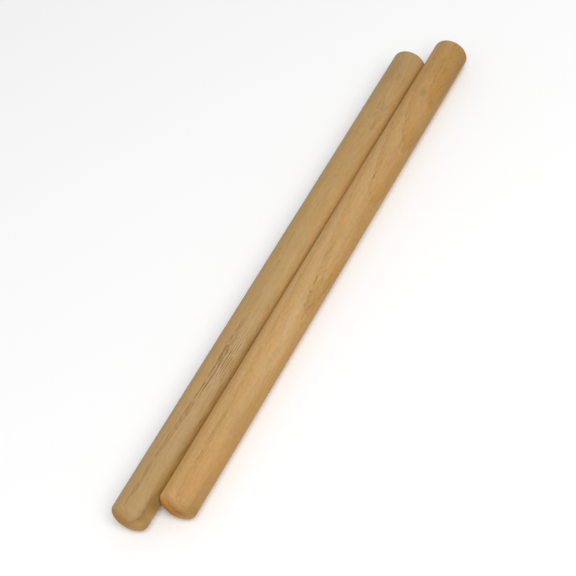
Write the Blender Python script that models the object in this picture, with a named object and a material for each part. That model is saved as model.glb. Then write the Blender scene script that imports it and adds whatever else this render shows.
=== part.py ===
"""A pair of claves: two plain turned hardwood sticks lying side by side.

Metres, +Z up. The origin is on the table, midway between the sticks. The sticks
lie along Y, touching the table along their undersides. The held clave is at -X and
the striker at +X, pushed a little further along +Y. Run with
    blender --background --python part.py
"""

import math

import bpy

# Driving dimensions.
STICK_LENGTH = 0.305
STICK_DIAMETER = 0.018
END_ROUND_ALONG = 0.0036
END_ROUND_ACROSS = 0.0055
GAP = 0.0003
STAGGER = 0.0123

# How finely the turned shape is drawn.
SIDES = 64
ROUND_STEPS = 8
SMOOTH_BELOW = math.radians(30.0)

# Worked out from the driving dimensions.
RADIUS = STICK_DIAMETER / 2
CENTRE_SPACING = STICK_DIAMETER + GAP

# Finish of each stick: colour (linear RGB) and roughness.
PALE_TAN = (0.43, 0.275, 0.115)
WARM_TAN = (0.475, 0.292, 0.118)
SANDED_ROUGHNESS = 0.55


def clear_scene():
    """Remove whatever the scene starts with."""
    for obj in list(bpy.data.objects):
        bpy.data.objects.remove(obj, do_unlink=True)


def wood(name, colour):
    """Plain sanded hardwood."""
    material = bpy.data.materials.new(name)
    material.use_nodes = True
    shader = material.node_tree.nodes["Principled BSDF"]
    shader.inputs["Base Color"].default_value = (*colour, 1.0)
    shader.inputs["Roughness"].default_value = SANDED_ROUGHNESS
    shader.inputs["Metallic"].default_value = 0.0
    return material


def end_round():
    """Radius and distance along the stick, from the start of the round-over to the flat end face.

    The round-over is a quarter of an ellipse, wider across the end than it is long.
    """
    points = []
    for step in range(ROUND_STEPS + 1):
        turn = math.pi / 2 * step / ROUND_STEPS
        radius = RADIUS - END_ROUND_ACROSS * (1 - math.cos(turn))
        along = STICK_LENGTH / 2 - END_ROUND_ALONG * (1 - math.sin(turn))
        points.append((radius, along))
    return points


def stick_profile():
    """The whole turned outline, from the far end at +Y back to the near end at -Y."""
    far_end = list(reversed(end_round()))
    near_end = [(radius, -along) for radius, along in end_round()]
    return far_end + near_end


def stick_mesh():
    """Rings of the outline turned about Y, closed by a flat face at each end."""
    profile = stick_profile()
    verts = []
    for radius, along in profile:
        for side in range(SIDES):
            angle = 2 * math.pi * side / SIDES
            verts.append((radius * math.cos(angle), along, radius * math.sin(angle)))
    faces = []
    for ring in range(len(profile) - 1):
        for side in range(SIDES):
            beside = (side + 1) % SIDES
            here, ahead = ring * SIDES, (ring + 1) * SIDES
            faces.append((here + side, here + beside, ahead + beside, ahead + side))
    last = (len(profile) - 1) * SIDES
    faces.append(tuple(reversed(range(SIDES))))
    faces.append(tuple(last + side for side in range(SIDES)))
    mesh = bpy.data.meshes.new("clave_stick")
    mesh.from_pydata(verts, [], faces)
    mesh.shade_smooth()
    mesh.set_sharp_from_angle(angle=SMOOTH_BELOW)
    return mesh


def add_stick(name, x, y, material):
    """One clave, with its origin at its own centre."""
    stick = bpy.data.objects.new(name, stick_mesh())
    stick.data.materials.append(material)
    stick.location = (x, y, RADIUS)
    bpy.context.scene.collection.objects.link(stick)
    return stick


clear_scene()
add_stick("held_clave", -CENTRE_SPACING / 2, -STAGGER / 2, wood("pale_hardwood", PALE_TAN))
add_stick("striker_clave", CENTRE_SPACING / 2, STAGGER / 2, wood("warm_hardwood", WARM_TAN))
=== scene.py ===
"""The looks of a pair of claves: two turned, sanded and lightly oiled hardwood sticks.

Each stick is a fine turned mesh that stands for its CAD node, with real relief for open pores,
torn grain, sanding and small dents. The wood's growth rings are worked out once, at every
vertex, and both the relief and the material follow them, so a dark line of pores is also a
line of small grooves. On the wood, lengths are in millimetres from the stick's own middle and
angles are in degrees round it, from +X towards +Z. Lengths in the scene are in metres.
"""

import math
from dataclasses import dataclass

import bpy
import numpy as np
from mathutils import Matrix, Vector


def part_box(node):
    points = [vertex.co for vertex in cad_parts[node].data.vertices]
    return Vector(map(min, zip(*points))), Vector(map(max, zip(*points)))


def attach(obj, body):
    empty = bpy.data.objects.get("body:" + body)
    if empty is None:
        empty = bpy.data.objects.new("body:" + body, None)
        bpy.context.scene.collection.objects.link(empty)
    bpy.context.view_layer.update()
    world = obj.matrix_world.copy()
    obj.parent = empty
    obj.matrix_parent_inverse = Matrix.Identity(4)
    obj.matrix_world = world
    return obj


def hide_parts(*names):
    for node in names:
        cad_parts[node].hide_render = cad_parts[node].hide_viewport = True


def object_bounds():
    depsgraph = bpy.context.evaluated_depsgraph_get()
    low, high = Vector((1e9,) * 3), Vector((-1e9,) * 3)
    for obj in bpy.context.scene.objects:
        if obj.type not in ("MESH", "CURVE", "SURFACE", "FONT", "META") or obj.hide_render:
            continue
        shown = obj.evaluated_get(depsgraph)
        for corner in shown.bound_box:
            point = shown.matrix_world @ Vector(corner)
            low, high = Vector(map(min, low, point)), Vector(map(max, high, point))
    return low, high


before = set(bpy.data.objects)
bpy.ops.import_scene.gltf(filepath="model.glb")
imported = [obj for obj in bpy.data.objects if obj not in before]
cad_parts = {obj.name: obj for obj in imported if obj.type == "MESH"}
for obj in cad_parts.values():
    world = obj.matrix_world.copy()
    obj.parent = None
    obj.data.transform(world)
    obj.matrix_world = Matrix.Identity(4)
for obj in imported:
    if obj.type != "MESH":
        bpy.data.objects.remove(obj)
cad_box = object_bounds()

MM = 0.001

# How finely each stick's skin is drawn: about 196,000 triangles a stick. A stick stays
# under 200,000 triangles.
SIDES = 288
BODY_RINGS = 290
END_RINGS = 26

# The turned shape. Each end is a low dome that bends most near its edge.
END_DEPTH = 3.6
END_POWER = 2.7  # 2 is half an ellipse, and more is flatter in the middle
SKIN_DEPTH = 0.03  # the whole skin lies this far inside, so only torn ridges swell out of the shape

# Smooth random fields: length of their waves across and along the stick, and how many are summed.
WANDER_WAVES = (16.0, 110.0, 7)
WAVER_WAVES = (2.5, 9.0, 9)
STRAND_WAVES = (5.0, 60.0, 6)
BITS_WAVES = (1.2, 15.0, 12)
SANDING_WAVES = (11.0, 38.0, 8)
DASH_ACROSS = 1.8  # each wood has its own length along the stick for this one
DASH_COUNT = 12

# Growth rings, and the line of pores at each ring boundary.
RUN_KNEE = 6.0  # how softly the rings turn parallel to the stick, as a length along it
LINE_CORE = 0.1  # the line is at its darkest up to this far outside the boundary
LINE_WIDTH = 0.4  # and has gone at this distance
FALSE_SHARE = 0.6  # a false ring's line is this dark beside a true one's, and fades to both sides
DASH_EDGE = (-0.5, 0.4)  # a piece of the line fades in over this range of a field, past the wood's gaps

# Torn grain: short parallel grooves with bare ridges between them.
TORN_SPACING = 1.2
TORN_DRIFT = 0.3  # how far the grooves stray sideways
TORN_EDGE = (0.1, 0.9)  # a groove rises out of its wave over this range
BITS_EDGE = (-0.4, 0.5)  # and is broken into pieces over this range of a random field

# Relief of the surface.
SANDING = 0.018
RING_SWELL = 0.008
LINE_DEPTH = 0.05
TORN_DEPTH = 0.07
TORN_RIDGE = 0.02
DENTS = 12
DENT_PLACES = 140.0  # dents lie up to this far from the stick's middle
DENT_DEPTH = (0.03, 0.08)
DENT_SIZE = (0.8, 2.0)
DENT_BREADTH = 1.4  # a dent is this much wider round the stick than along it
DENT_POWER = 1.5  # more gives a flatter bottom and a steeper side

# The end grain.
HEART_FADE = (1.5, 11.0)  # its dark heart fades out between these distances from the heart's middle
END_RIM = 7.5  # its colour fades out from this radius to the stick's own

# Sizes of spots that cover a whole stick.
WHOLE_LENGTH = 400.0
ALL_ROUND = 200.0


@dataclass
class Spot:
    """A soft-edged place on a stick."""

    along: float  # from the stick's middle
    around: float  # degrees round the stick
    half_length: float  # along the stick
    half_width: float  # degrees round the stick
    strength: float  # below zero it does the opposite


@dataclass
class Wood:
    """One stick's timber."""

    name: str
    seed: int  # of the first random field, and the others count on from it
    early: tuple  # colour of the wood just outside a ring boundary, linear RGB
    late: tuple  # colour of the wood just inside the next one
    end_tint: tuple  # what the end grain's colour is multiplied by at its heart
    # Set off towards -X, where the ends turn from the lamp, so the end grain's dark heart is partly
    # painted shade.
    heart: tuple  # where the end grain is darkest: distance along X and Z from the stick's axis
    crown: float  # the angle that faces the bark, where the rings lie flat to the surface
    ring_width: float
    first_ring: float  # depth of one ring boundary, measured outwards from the stick's axis
    run_start: float  # place along the stick from which the grain's run-out is measured
    run_end: float  # place beyond which the rings lie parallel to the stick again
    run_out: tuple  # linear, square and cubic parts of how the rings slope to the stick
    wander: float  # how far the rings stray from their even places
    pith: float  # distance from the stick's axis to the middle of the tree
    line: float  # how dark the line at each ring boundary is
    faint_line: float  # how much of that line shows where no spot brings it out
    dash: float  # typical length of the pieces the line is broken into
    gaps: float  # how much of the line is missing, from -1 (none) to 1 (nearly all)
    waver: float  # how much the line strays over short lengths
    false_ring: float  # how far outside a ring boundary a second, fainter line runs
    mottle: float  # how cloudy the surface is
    line_spots: tuple  # where the ring lines stand out
    torn_spots: tuple  # where the grain is torn into short parallel grooves
    # Stains, and painted shade and painted light: darker and paler places beside the other stick and at
    # the near ends.
    stain_light_and_shade_spots: tuple  # darker places, and paler ones where the strength is below zero
    # Some warm bands along the sides are painted light: warm bounce light beside the other stick, and
    # warmer shade on the striker's side away from it.
    warm_spots: tuple  # more orange places, and greyer ones where the strength is below zero


# ---------------------------------------------------------------- shape of a stick


def ripple(points, across, along, count, seed):
    """A smooth random field of about -1 to 1: a sum of waves of the given lengths."""
    random = np.random.default_rng(seed)
    total = np.zeros(len(points))
    for _ in range(count):
        direction = random.normal(size=3) / np.array((across, along, across))
        total += np.sin(2 * np.pi * (points @ direction) + random.uniform(0, 2 * np.pi))
    return total / math.sqrt(count)


def smooth(value, low, high):
    """Goes smoothly from 0 to 1 as the value goes from low to high."""
    share = np.clip((value - low) / (high - low), 0.0, 1.0)
    return share * share * (3 - 2 * share)


def half_turn(angle):
    """The same angle, between -180 and 180 degrees."""
    return (angle + 180.0) % 360.0 - 180.0


def cover(spots, along, angle):
    """How strongly a set of spots covers each point."""
    total = np.zeros(len(along))
    for spot in spots:
        apart = half_turn(angle - spot.around)
        reach = ((along - spot.along) / spot.half_length) ** 2 + (apart / spot.half_width) ** 2
        total += spot.strength * np.exp(-reach)
    return total


def stick_outline(length, radius):
    """Radius and place along the stick, from beside the far tip to beside the near tip."""
    half = length / 2
    far_end = []
    for step in range(1, END_RINGS + 1):
        share = math.sin(math.pi / 2 * step / END_RINGS)
        depth = END_DEPTH * (1 - math.sqrt(1 - share**END_POWER))
        far_end.append((radius * share, half - depth))
    body_end = half - END_DEPTH
    steps = np.linspace(body_end, -body_end, BODY_RINGS + 1)[1:-1]
    body = [(radius, float(along)) for along in steps]
    near_end = [(across, -along) for across, along in reversed(far_end)]
    return np.array(far_end + body + near_end)


def ring_depth(wood, points):
    """How many millimetres of growth lie under each point, counted along the rings' own direction."""
    crown = math.radians(wood.crown)
    x, y, z = points.T
    towards_bark = x * math.cos(crown) + z * math.sin(crown)
    sideways = z * math.cos(crown) - x * math.sin(crown)
    growth = np.hypot(towards_bark + wood.pith, sideways) - wood.pith
    along = RUN_KNEE * -np.logaddexp(-y / RUN_KNEE, -wood.run_end / RUN_KNEE) - wood.run_start
    linear, square, cubic = wood.run_out
    growth += linear * along + square * along**2 + cubic * along**3
    growth += wood.wander * ripple(points, *WANDER_WAVES, wood.seed)
    growth += wood.waver * ripple(points, *WAVER_WAVES, wood.seed + 1)
    return growth


def line_dashes(wood, points, along, angle):
    """How much of the ring lines shows at each point, from 0 in a gap to 1."""
    breaks = ripple(points, DASH_ACROSS, wood.dash, DASH_COUNT, wood.seed + 2)
    shown = wood.faint_line + cover(wood.line_spots, along, angle)
    low, high = DASH_EDGE
    return np.clip(shown * smooth(breaks, wood.gaps + low, wood.gaps + high), 0.0, 1.0)


def torn_grain(wood, points, along, angle, radius):
    """Torn grain, from about 1 in the middle of a groove to about -1 on the ridge beside it."""
    drift = TORN_DRIFT * ripple(points, *STRAND_WAVES, wood.seed + 3)
    bands = np.cos(2 * np.pi * (np.radians(angle) * radius + drift) / TORN_SPACING)
    bits = smooth(ripple(points, *BITS_WAVES, wood.seed + 4), *BITS_EDGE)
    patch = cover(wood.torn_spots, along, angle)
    return patch * bits * (smooth(bands, *TORN_EDGE) - smooth(-bands, *TORN_EDGE))


def dents(along, angle, radius, seed):
    """Depth of a few small dents from playing and handling."""
    random = np.random.default_rng(seed)
    total = np.zeros(len(along))
    for _ in range(DENTS):
        middle = random.uniform(-DENT_PLACES, DENT_PLACES)
        side = random.uniform(0.0, 360.0)
        size = random.uniform(*DENT_SIZE)
        depth = random.uniform(*DENT_DEPTH)
        apart = np.radians(half_turn(angle - side)) * radius
        reach = ((along - middle) / size) ** 2 + (apart / (DENT_BREADTH * size)) ** 2
        total = np.maximum(total, depth * np.exp(-(reach**DENT_POWER)))
    return total


def end_grain(wood, x, z, radius):
    """How much a point shows the end grain's own colour: 1 at its heart, 0 on the stick's side."""
    from_heart = np.hypot(x - wood.heart[0], z - wood.heart[1])
    face = 1.0 - smooth(np.hypot(x, z), END_RIM, radius)
    return face * (1.0 - smooth(from_heart, *HEART_FADE))


def surface_marks(wood, points, radius):
    """Numbers at every point that the relief and the material share."""
    x, along, z = points.T
    angle = np.degrees(np.arctan2(z, x))
    return {
        "growth": ring_depth(wood, points),
        "dash": line_dashes(wood, points, along, angle),
        "torn": torn_grain(wood, points, along, angle, radius),
        "stain_light_and_shade": cover(wood.stain_light_and_shade_spots, along, angle),
        "warm": cover(wood.warm_spots, along, angle),
        "dent": dents(along, angle, radius, wood.seed + 5),
        "end": end_grain(wood, x, z, radius),
    }


def relief(wood, points, marks):
    """Height of the surface over the turned shape."""
    year = (marks["growth"] - wood.first_ring) / wood.ring_width % 1.0
    since = year * wood.ring_width
    from_false = np.abs(since - wood.false_ring)
    line = 1.0 - smooth(since, LINE_CORE, LINE_WIDTH)
    line += FALSE_SHARE * (1.0 - smooth(from_false, LINE_CORE / 2, LINE_WIDTH / 2))
    height = SANDING * np.clip(ripple(points, *SANDING_WAVES, wood.seed + 6), -1.0, 1.0)
    height += RING_SWELL * np.cos(2 * np.pi * year)
    height -= LINE_DEPTH * line * marks["dash"]
    height -= TORN_DEPTH * np.maximum(marks["torn"], 0.0)
    height += TORN_RIDGE * np.maximum(-marks["torn"], 0.0)
    return height - marks["dent"] - SKIN_DEPTH


def outward(outline):
    """Direction straight out of the turned shape at each step of its outline: across, along."""
    step = np.gradient(outline, axis=0)
    normal = np.column_stack((-step[:, 1], step[:, 0]))
    return normal / np.linalg.norm(normal, axis=1)[:, None]


def skin_faces(rings):
    """Quads between the rings of vertices, and a fan of triangles at the middle of each end face."""
    faces = []
    for ring in range(rings - 1):
        for side in range(SIDES):
            beside = (side + 1) % SIDES
            here, ahead = ring * SIDES, (ring + 1) * SIDES
            faces.append((here + side, here + beside, ahead + beside, ahead + side))
    last = (rings - 1) * SIDES
    far_tip, near_tip = rings * SIDES, rings * SIDES + 1
    for side in range(SIDES):
        beside = (side + 1) % SIDES
        faces.append((far_tip, beside, side))
        faces.append((near_tip, last + side, last + beside))
    return faces


def store(mesh, name, values):
    """Keep one number per vertex on the mesh, for the material to read."""
    layer = mesh.attributes.new(name, "FLOAT", "POINT")
    layer.data.foreach_set("value", np.asarray(values, np.float32))


def build_stick(name, box, wood):
    """The stick's mesh, in the row frame, with its growth rings and marks stored at every vertex."""
    low, high = box
    middle = (low + high) / 2
    length = (high.y - low.y) / MM
    radius = (high.z - low.z) / 2 / MM
    outline = stick_outline(length, radius)
    across, along = np.repeat(outline, SIDES, axis=0).T
    lean, tip = np.repeat(outward(outline), SIDES, axis=0).T
    angle = np.tile(np.arange(SIDES) * 2 * math.pi / SIDES, len(outline))
    skin = np.column_stack((across * np.cos(angle), along, across * np.sin(angle)))
    normal = np.column_stack((lean * np.cos(angle), tip, lean * np.sin(angle)))
    points = np.vstack((skin, (0.0, length / 2, 0.0), (0.0, -length / 2, 0.0)))
    normal = np.vstack((normal, (0.0, 1.0, 0.0), (0.0, -1.0, 0.0)))

    marks = surface_marks(wood, points, radius)
    points = points + normal * relief(wood, points, marks)[:, None]
    mesh = bpy.data.meshes.new(name)
    mesh.from_pydata((points * MM + np.array(middle)).tolist(), [], skin_faces(len(outline)))
    for mark, values in marks.items():
        store(mesh, mark, values)
    mesh.shade_smooth()
    stick = bpy.data.objects.new(name, mesh)
    bpy.context.scene.collection.objects.link(stick)
    return stick, middle


# ---------------------------------------------------------------- material graph


class Field:
    """A number at every point of a material. Sums and products of fields become Math nodes."""

    def __init__(self, graph, socket):
        self.graph = graph
        self.socket = socket

    def __add__(self, other):
        return self.graph.math("ADD", self, other)

    def __sub__(self, other):
        return self.graph.math("SUBTRACT", self, other)

    def __mul__(self, other):
        return self.graph.math("MULTIPLY", self, other)

    __radd__ = __add__

    def __rsub__(self, other):
        return self.graph.math("SUBTRACT", other, self)

    def swing(self, amount):
        """A noise of 0 to 1 turned into a swing about 0."""
        return (self - 0.5) * amount


class Graph:
    """Builds a material's nodes. A value may be a number, a tuple, a socket or a Field."""

    def __init__(self, name):
        self.material = bpy.data.materials.new(name)
        self.material.use_nodes = True
        self.tree = self.material.node_tree
        self.shader = self.tree.nodes["Principled BSDF"]

    def plug(self, socket, value):
        """Link a socket or a Field to an input, or set the input to a plain value."""
        if isinstance(value, Field):
            value = value.socket
        if isinstance(value, bpy.types.NodeSocket):
            self.tree.links.new(value, socket)
        else:
            socket.default_value = value

    def surface(self, **inputs):
        """Plug values into the shader."""
        for key, value in inputs.items():
            self.plug(self.shader.inputs[key.replace("_", " ")], value)

    def node(self, kind, settings, **inputs):
        node = self.tree.nodes.new(kind)
        for key, value in settings.items():
            setattr(node, key, value)
        for key, value in inputs.items():
            self.plug(node.inputs[key.replace("_", " ")], value)
        return node

    def math(self, operation, *values):
        node = self.node("ShaderNodeMath", {"operation": operation})
        for socket, value in zip(node.inputs, values):
            self.plug(socket, value)
        return Field(self, node.outputs[0])

    def above_zero(self, value):
        return self.math("MAXIMUM", value, 0.0)

    def attribute(self, name):
        node = self.node("ShaderNodeAttribute", {"attribute_name": name})
        return Field(self, node.outputs["Fac"])

    def vector(self, operation, first, second=None, scale=None):
        node = self.node("ShaderNodeVectorMath", {"operation": operation})
        self.plug(node.inputs[0], first)
        if second is not None:
            self.plug(node.inputs[1], second)
        if scale is not None:
            node.inputs["Scale"].default_value = scale
        return node.outputs["Vector"]

    def wood_position(self, middle):
        """Position on the stick in millimetres, from the stick's own middle."""
        place = self.node("ShaderNodeTexCoord", {}).outputs["Object"]
        moved = self.vector("SUBTRACT", place, tuple(middle))
        return self.vector("SCALE", moved, scale=1 / MM)

    def stretched(self, place, across, along):
        """The position measured in cells that are so many millimetres across and along the grain."""
        return self.vector("MULTIPLY", place, (1 / across, 1 / along, 1 / across))

    def noise(self, place, across, along, detail=2.0, roughness=0.5):
        """Cloudy noise of 0 to 1, stretched along the grain."""
        cells = self.stretched(place, across, along)
        node = self.node(
            "ShaderNodeTexNoise", {}, Vector=cells, Scale=1.0, Detail=detail, Roughness=roughness
        )
        return Field(self, node.outputs[0])

    def cells(self, place, across, along):
        """Distance to the middle of the nearest cell, in cells."""
        cells = self.stretched(place, across, along)
        node = self.node("ShaderNodeTexVoronoi", {"feature": "F1"}, Vector=cells, Scale=1.0)
        return Field(self, node.outputs["Distance"])

    def rise(self, value, low, high, bottom=0.0, top=1.0):
        """Goes smoothly from bottom to top as the value goes from low to high."""
        node = self.node("ShaderNodeMapRange", {"interpolation_type": "SMOOTHSTEP"}, Value=value)
        for key, limit in (("From Min", low), ("From Max", high), ("To Min", bottom), ("To Max", top)):
            self.plug(node.inputs[key], limit)
        return Field(self, node.outputs["Result"])

    def fall(self, value, low, high, top=1.0, bottom=0.0):
        """Goes smoothly from top to bottom as the value goes from low to high."""
        return self.rise(value, low, high, top, bottom)

    def mix(self, share, first, second, blend="MIX"):
        """Mixes two colours."""
        node = self.node("ShaderNodeMix", {"data_type": "RGBA", "blend_type": blend})
        self.plug(node.inputs["Factor"], share)
        self.plug(node.inputs["A"], first)
        self.plug(node.inputs["B"], second)
        return node.outputs["Result"]

    def tinted(self, colour, tint):
        """The colour multiplied by a tint."""
        return self.mix(1.0, colour, rgb(tint), "MULTIPLY")

    def shaded(self, colour, tone):
        """The colour multiplied by a field of brightness."""
        node = self.node("ShaderNodeCombineColor", {}, Red=tone, Green=tone, Blue=tone)
        return self.mix(1.0, colour, node.outputs["Color"], "MULTIPLY")


def rgb(colour):
    return (*colour, 1.0)


# ---------------------------------------------------------------- the wood's material

# Noises: size of the clouds across and along the grain, then detail and roughness where they
# are not the usual ones.
FIBRE = (0.4, 14.0, 3.0, 0.6)
STRAND = (1.1, 12.0)
STREAK = (2.4, 60.0, 3.0, 0.6)
CLOUD = (7.0, 24.0)
MOTTLE = (1.0, 2.4, 3.0, 0.6)

# How much each of them, and the stains, painted shade and painted light, lighten or darken the wood.
FIBRE_TONE = 0.26
STRAND_TONE = 0.22
STREAK_TONE = 0.16
STAIN_LIGHT_AND_SHADE_TONE = 0.2

# Late wood, as shares of a year: it sets in slowly and stops at the ring boundary.
LATE_SETS_IN = (0.05, 0.8)
LATE_STOPS = (0.86, 1.0)

# Pores: cells stretched along the grain, open near their middles and most of all in early wood.
PORE_CELL = (0.55, 5.0)
PORE_EDGE = (0.1, 0.28)  # in cells from the middle
PORE_PATCHES = (1.5, 10.0)  # pores come and go with a noise of this size
PORE_PATCH_EDGE = (0.4, 0.6)
EARLY_WOOD = (0.2, 1.6)  # the pores grow scarcer between these distances outside a boundary
LATE_PORES = 0.3  # how much of them is left in late wood

# What the wood's colour is multiplied by where it is warm, cool, bare and deep in a pore.
WARM_TINT = (1.0, 0.90, 0.66)
COOL_TINT = (0.99, 1.045, 1.16)
BARE_TINT = (1.15, 1.22, 1.50)
DEEP_TINT = (0.36, 0.26, 0.15)
WARM_CLOUDS = (0.45, 0.8)  # clouds of noise warm the wood over this range
WARM_CLOUD_SHARE = 0.45
PORE_DARKNESS = 0.22
GROOVE_DARKNESS = 0.52

# Specks of open vessels in the end grain.
VESSEL_CELL = (0.8, 5.0)
VESSEL_EDGE = (0.12, 0.34)  # in cells from the middle
VESSEL_DARKNESS = 0.25
END_LATE = (0.5, 1.0)  # share of a year over which the late wood darkens
END_LATE_DARKNESS = 0.08

# Finish: satin, duller in the pores and on the end grain, shinier where it was dented.
SATIN = 0.55
FIBRE_DULLING = 0.16
CLOUD_DULLING = 0.1
PORE_DULLING = 0.2
END_DULLING = 0.12
DENT_SHINE = 1.5  # for each millimetre of depth
SPECULAR = 0.22
DIFFUSE_ROUGHNESS = 0.3

# Fine relief, in millimetres.
FIBRE_HEIGHT = 0.03
PORE_DEPTH = 0.05
BUMP_STRENGTH = 0.8


class Grain:
    """The figure of one stick's wood: fields that its colour, finish and fine relief are made of."""

    def __init__(self, g, wood, middle):
        place = g.wood_position(middle)
        self.fibre = g.noise(place, *FIBRE)
        self.strand = g.noise(place, *STRAND)
        self.streak = g.noise(place, *STREAK)
        self.cloud = g.noise(place, *CLOUD)
        self.mottle = g.noise(place, *MOTTLE)

        # Where a point lies in its year: 0 just outside a ring boundary, 1 just inside the next.
        years = (g.attribute("growth") - wood.first_ring) * (1 / wood.ring_width)
        self.year = g.math("FRACT", years)
        since = self.year * wood.ring_width

        # The broken dark line at a ring boundary, and the pores behind it.
        from_false = g.math("ABSOLUTE", since - wood.false_ring)
        line = g.fall(since, LINE_CORE, LINE_WIDTH)
        line = line + g.fall(from_false, LINE_CORE / 2, LINE_WIDTH / 2, FALSE_SHARE)
        self.line = line * g.attribute("dash")
        porous = g.fall(since, *EARLY_WOOD, 1.0, LATE_PORES)
        pore = g.fall(g.cells(place, *PORE_CELL), *PORE_EDGE) * porous
        self.pore = pore * g.rise(g.noise(place, *PORE_PATCHES), *PORE_PATCH_EDGE)
        self.vessel = g.fall(g.cells(place, *VESSEL_CELL), *VESSEL_EDGE, VESSEL_DARKNESS) * porous

        torn = g.attribute("torn")
        self.groove = g.above_zero(torn)
        self.ridge = g.above_zero(torn * -1.0)
        self.end = g.attribute("end")


def wood_colour(g, wood, grain):
    """Early and late wood, toned by fibres, stains, painted shade and painted light, warmed or cooled,
    partly as painted warm light, and dark in every pore.
    """
    late = g.rise(grain.year, *LATE_SETS_IN) * g.fall(grain.year, *LATE_STOPS)
    colour = g.mix(late, rgb(wood.early), rgb(wood.late))

    tone = 1.0 + grain.streak.swing(STREAK_TONE) + grain.strand.swing(STRAND_TONE)
    tone = tone + grain.fibre.swing(FIBRE_TONE) + grain.mottle.swing(wood.mottle)
    # Stains, and painted shade and painted light beside the other stick and at the near ends.
    tone = tone * (1.0 - g.attribute("stain_light_and_shade") * STAIN_LIGHT_AND_SHADE_TONE)
    colour = g.shaded(colour, tone)

    # Warm clouds in the wood, and warm places, some of which are painted warm bounce light and warmer
    # painted shade along the sides.
    warmth = g.attribute("warm")
    warm_cloud = g.rise(grain.cloud, *WARM_CLOUDS) * WARM_CLOUD_SHARE
    colour = g.mix(g.math("MAXIMUM", warm_cloud, warmth), colour, g.tinted(colour, WARM_TINT))
    colour = g.mix(g.above_zero(warmth * -1.0), colour, g.tinted(colour, COOL_TINT))
    colour = g.mix(grain.ridge, colour, g.tinted(colour, BARE_TINT))

    deep = g.tinted(colour, DEEP_TINT)
    depth = grain.line * wood.line + grain.pore * PORE_DARKNESS + grain.groove * GROOVE_DARKNESS
    colour = g.mix(g.math("MINIMUM", depth, 1.0), colour, deep)

    # End grain drinks more oil, so the end faces are darker and warmer, most of all at their hearts;
    # the hearts are set off towards -X, where the ends turn from the lamp, so that part is painted
    # shade.
    colour = g.mix(grain.end, colour, g.tinted(colour, wood.end_tint))
    speck = grain.end * (grain.vessel + g.rise(grain.year, *END_LATE) * END_LATE_DARKNESS)
    return g.mix(speck, colour, deep)


def wood_material(wood, middle):
    """Sanded, oiled hardwood: rings, pores, fibres and blotches cut through the solid stick."""
    g = Graph(wood.name)
    grain = Grain(g, wood, middle)
    rough = SATIN + grain.fibre.swing(FIBRE_DULLING) + grain.cloud.swing(CLOUD_DULLING)
    rough = rough + grain.pore * PORE_DULLING + grain.end * END_DULLING
    height = grain.fibre.swing(FIBRE_HEIGHT) - grain.pore * PORE_DEPTH
    bump = g.node("ShaderNodeBump", {}, Strength=BUMP_STRENGTH, Distance=MM, Height=height)
    g.surface(
        Base_Color=wood_colour(g, wood, grain),
        Roughness=rough - g.attribute("dent") * DENT_SHINE,
        Specular_IOR_Level=SPECULAR,
        Diffuse_Roughness=DIFFUSE_ROUGHNESS,
        Normal=bump.outputs["Normal"],
    )
    return g.material


# ---------------------------------------------------------------- the two sticks

PALE = Wood(
    name="pale_hardwood",
    seed=11,
    early=(0.438, 0.283, 0.121),
    late=(0.422, 0.269, 0.110),
    end_tint=(0.86, 0.62, 0.27),
    heart=(-4.5, -0.5),
    crown=52.0,
    ring_width=3.84,
    first_ring=7.9,
    run_start=-60.0,
    run_end=200.0,
    run_out=(0.0, 1.2e-4, 0.0),
    wander=0.09,
    pith=60.0,
    line=0.70,
    faint_line=0.35,
    dash=8.0,
    gaps=-0.40,
    waver=0.05,
    false_ring=0.55,
    mottle=0.24,
    line_spots=(
        # On top and next to the other stick, towards the near end.
        Spot(-135, 84, 18, 10, 0.5),
        Spot(-101, 86, 14, 14, 0.4),
        Spot(-56, 80, 12, 12, 0.9),
        Spot(-80, 74, 26, 8, 0.6),
        Spot(-100, 30, 40, 12, 0.6),
        # Underneath.
        Spot(50, 196, 60, 34, 0.5),
        Spot(-80, 236, 50, 40, 0.5),
        Spot(70, 306, 60, 30, 0.4),
    ),
    torn_spots=(
        Spot(-64, 58, 20, 30, 1.2),
        Spot(-101, 42, 9, 9, 0.5),
        Spot(-145, 31, 12, 5, 0.6),
        Spot(72, 204, 16, 22, 0.7),
        Spot(-20, 262, 12, 18, 0.5),
    ),
    stain_light_and_shade_spots=(
        # Broad changes along the stick, and the torn patch.
        Spot(-150, 70, 50, 60, 0.2),
        # A painted shadow on the side next to the other stick, towards the near end.
        Spot(-125, 24, 55, 16, 0.9),
        Spot(-66, 62, 13, 12, 0.5),
        Spot(-88, 98, 14, 14, -0.4),
        Spot(137, 88, 12, 30, 0.35),
        Spot(150, 60, 60, ALL_ROUND, 0.3),
        # Small knots.
        Spot(-27, 36, 2.5, 6, 0.8),
        Spot(94, 51, 4, 7, 0.5),
        Spot(131, 69, 3, 6, 0.7),
        # The side next to the other stick: painted light where the other stick shades it, and painted
        # shade along the line between them.
        Spot(0, 11, WHOLE_LENGTH, 22, -0.5),
        Spot(-30, 46, 150, 18, -0.2),
        Spot(45, 38, 95, 13, -0.35),
        Spot(110, 42, 8, 14, -0.4),
        Spot(-50, 19, 18, 10, 0.6),
        Spot(125, 17, 28, 10, 0.6),
        # The near end: painted shade along its lower edge, a painted shadow of the other stick's end
        # beside it, and a dark streak.
        Spot(-149.5, -20, 2.5, 50, 1.7),
        Spot(-141, 2, 5, 26, 2.1),
        Spot(-145, 31, 12, 6, 0.8),
    ),
    warm_spots=(
        # Painted warm bounce light all along the side next to the other stick.
        Spot(0, -2, WHOLE_LENGTH, 26, 1.2),
        Spot(-60, 118, 60, 12, 0.4),
        # Warmer painted shadow on the side next to the other stick, towards the near end.
        Spot(-125, 20, 55, 18, 0.7),
        Spot(-70, 50, 80, 18, -1.0),
        Spot(40, 100, 60, 30, 0.3),
        Spot(147, 80, 7, 60, -0.7),
        Spot(150, 60, 60, ALL_ROUND, 0.23),
    ),
)

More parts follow.
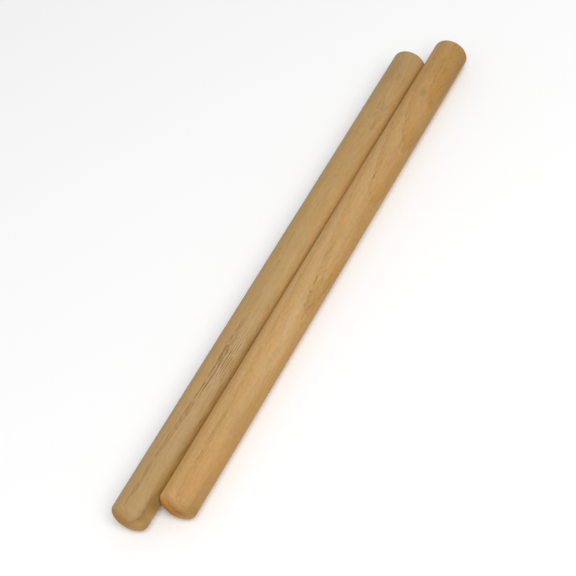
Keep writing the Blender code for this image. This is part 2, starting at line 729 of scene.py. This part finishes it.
WARM = Wood(
    name="warm_hardwood",
    seed=29,
    early=(0.462, 0.281, 0.106),
    late=(0.490, 0.307, 0.135),
    end_tint=(0.80, 0.55, 0.17),
    heart=(-3.0, -0.5),
    crown=30.0,
    ring_width=5.3,
    first_ring=6.0,
    run_start=-125.0,
    run_end=112.0,
    run_out=(0.017, 0.0, 1.16e-6),
    wander=0.12,
    pith=70.0,
    line=0.55,
    faint_line=0.35,
    dash=3.5,
    gaps=0.15,
    waver=0.14,
    false_ring=0.9,
    mottle=0.34,
    line_spots=(
        # On top, from the near end to the far end.
        Spot(-118, 78, 12, 10, 0.9),
        Spot(-22, 44, 20, 20, 0.55),
        Spot(-20, 98, 50, 12, 0.6),
        Spot(50, 66, 34, 18, 0.6),
        Spot(85, 80, 26, 18, 0.4),
        # Underneath.
        Spot(-60, 208, 60, 50, 0.5),
        Spot(70, 250, 60, 50, 0.4),
    ),
    torn_spots=(
        Spot(-78, 36, 9, 10, 0.5),
        Spot(-27, 28, 12, 12, 0.5),
        Spot(34, 30, 10, 16, 0.35),
        Spot(78, 28, 10, 16, 0.35),
        Spot(-20, 216, 14, 24, 0.5),
    ),
    stain_light_and_shade_spots=(
        # Broad changes along the stick.
        Spot(-40, 92, 130, 24, -0.25),
        Spot(-52, 45, 28, 20, -0.3),
        Spot(150, 60, 60, ALL_ROUND, 0.7),
        Spot(150, 10, 90, 36, 0.4),
        # The two sides: painted shade on the side away from the other stick, and painted light on the
        # side next to it, where the other stick shades it.
        Spot(0, -8, WHOLE_LENGTH, 36, 1.0),
        Spot(0, 148, WHOLE_LENGTH, 26, -1.2),
        # Blotches.
        Spot(-102, 28, 15, 20, 0.5),
        Spot(-28, 32, 10, 12, 0.3),
        Spot(27, 30, 14, 22, 0.5),
        Spot(60, 16, 14, 14, 0.35),
        Spot(67, 50, 10, 12, 0.45),
        Spot(130, 72, 10, 10, 0.5),
        # Small knots and dark streaks.
        Spot(-108, 78, 4, 8, 0.5),
        Spot(-27, 43, 5, 3, 0.7),
        Spot(-2, 63, 6, 2.5, 0.9),
        Spot(111, 70, 3, 10, 1.0),
        # The near end: painted shade along its lower edge and on the side away from the other stick,
        # and painted light on the side next to it.
        Spot(-149.5, -20, 2.5, 50, 0.8),
        Spot(-144, 15, 12, 30, 0.45),
        Spot(-146, 142, 8, 22, -0.7),
    ),
    warm_spots=(
        # The two ends, and the two sides, where the warmth is painted light: warm bounce light next to
        # the other stick, and warmer painted shade along the side away from it.
        Spot(-150, 60, 40, ALL_ROUND, 0.38),
        Spot(150, 60, 70, ALL_ROUND, 0.6),
        Spot(0, 0, WHOLE_LENGTH, 32, 1.2),
        Spot(0, 168, WHOLE_LENGTH, 26, 1.2),
        # Blotches.
        Spot(-92, 16, 14, 18, 0.4),
        Spot(-35, 45, 45, 20, -0.8),
        Spot(-28, 34, 12, 12, 0.6),
        Spot(27, 28, 14, 20, 0.35),
        Spot(100, 14, 80, 34, 0.38),
        Spot(130, 74, 12, 12, 0.3),
    ),
)

for node, body, wood in (
    ("held_clave", "held", PALE),
    ("striker_clave", "striker", WARM),
):
    stick, middle = build_stick(node + "_wood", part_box(node), wood)
    stick.data.materials.append(wood_material(wood, middle))
    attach(stick, body)
    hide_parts(node)


# ---------------------------------------------------------------- floor, light and camera

FLOOR_SIZE = 6.0
FLOOR_COLOUR = (0.95, 0.95, 0.95)
FLOOR_ROUGHNESS = 0.8
FLOOR_SPECULAR = 0.2

WHITE = (1.0, 1.0, 1.0)
SKY_STRENGTH = 0.45
LAMP_TOWARDS = (0.50, -0.32, 0.80)  # direction of the lamp, seen from the origin
LAMP_DISTANCE = 2.4
LAMP_SIZE = 2.0
LAMP_POWER = 50.0  # watts

# The camera's azimuth is counted from the near ends (-Y) towards the striker's side (+X).
CAMERA_AZIMUTH = 41.83
CAMERA_ELEVATION = 45.66
CAMERA_ROLL = -19.88
CAMERA_DISTANCE = 0.8476
CAMERA_LENS = 111.24
CAMERA_REACH = (0.01, 20.0)  # nearest and farthest distance that it sees
LOOK_BESIDE = -0.00115  # where it looks, on X
LOOK_ALONG = -0.01561  # and on Y


def add_floor():
    """A plain pale table top under the sticks."""
    half = FLOOR_SIZE / 2
    corners = [(-half, -half, 0), (half, -half, 0), (half, half, 0), (-half, half, 0)]
    mesh = bpy.data.meshes.new("floor")
    mesh.from_pydata(corners, [], [(0, 1, 2, 3)])
    floor = bpy.data.objects.new("floor", mesh)
    bpy.context.scene.collection.objects.link(floor)
    paint = Graph("floor_paint")
    paint.surface(
        Base_Color=rgb(FLOOR_COLOUR), Roughness=FLOOR_ROUGHNESS, Specular_IOR_Level=FLOOR_SPECULAR
    )
    mesh.materials.append(paint.material)


def add_light():
    """An even white surround, and one large soft lamp above the striker's side of the near ends."""
    world = bpy.data.worlds.new("studio")
    bpy.context.scene.world = world
    world.use_nodes = True
    background = world.node_tree.nodes["Background"]
    background.inputs["Color"].default_value = rgb(WHITE)
    background.inputs["Strength"].default_value = SKY_STRENGTH
    bpy.context.scene.view_settings.view_transform = "Standard"

    data = bpy.data.lights.new("key_lamp", "AREA")
    data.shape = "DISK"
    data.size = LAMP_SIZE
    data.energy = LAMP_POWER
    lamp = bpy.data.objects.new("key_lamp", data)
    towards = Vector(LAMP_TOWARDS).normalized()
    lamp.location = towards * LAMP_DISTANCE
    lamp.rotation_euler = towards.to_track_quat("Z", "Y").to_euler()
    bpy.context.scene.collection.objects.link(lamp)


def add_camera():
    """The camera looks down at the pair from the striker's side, turned a little in its own plane."""
    low, high = cad_box
    target = Vector((LOOK_BESIDE, LOOK_ALONG, (low.z + high.z) / 2))
    azimuth = math.radians(CAMERA_AZIMUTH)
    elevation = math.radians(CAMERA_ELEVATION)
    back = Vector(
        (
            math.sin(azimuth) * math.cos(elevation),
            -math.cos(azimuth) * math.cos(elevation),
            math.sin(elevation),
        )
    )
    right = Vector((math.cos(azimuth), math.sin(azimuth), 0.0))
    up = back.cross(right)
    level = Matrix((right, up, back)).transposed()
    rotation = level @ Matrix.Rotation(math.radians(CAMERA_ROLL), 3, "Z")
    data = bpy.data.cameras.new("camera")
    data.lens = CAMERA_LENS
    data.clip_start, data.clip_end = CAMERA_REACH
    camera = bpy.data.objects.new("camera", data)
    camera.matrix_world = Matrix.Translation(target + back * CAMERA_DISTANCE) @ rotation.to_4x4()
    bpy.context.scene.collection.objects.link(camera)
    bpy.context.scene.camera = camera


add_floor()
add_light()
add_camera()
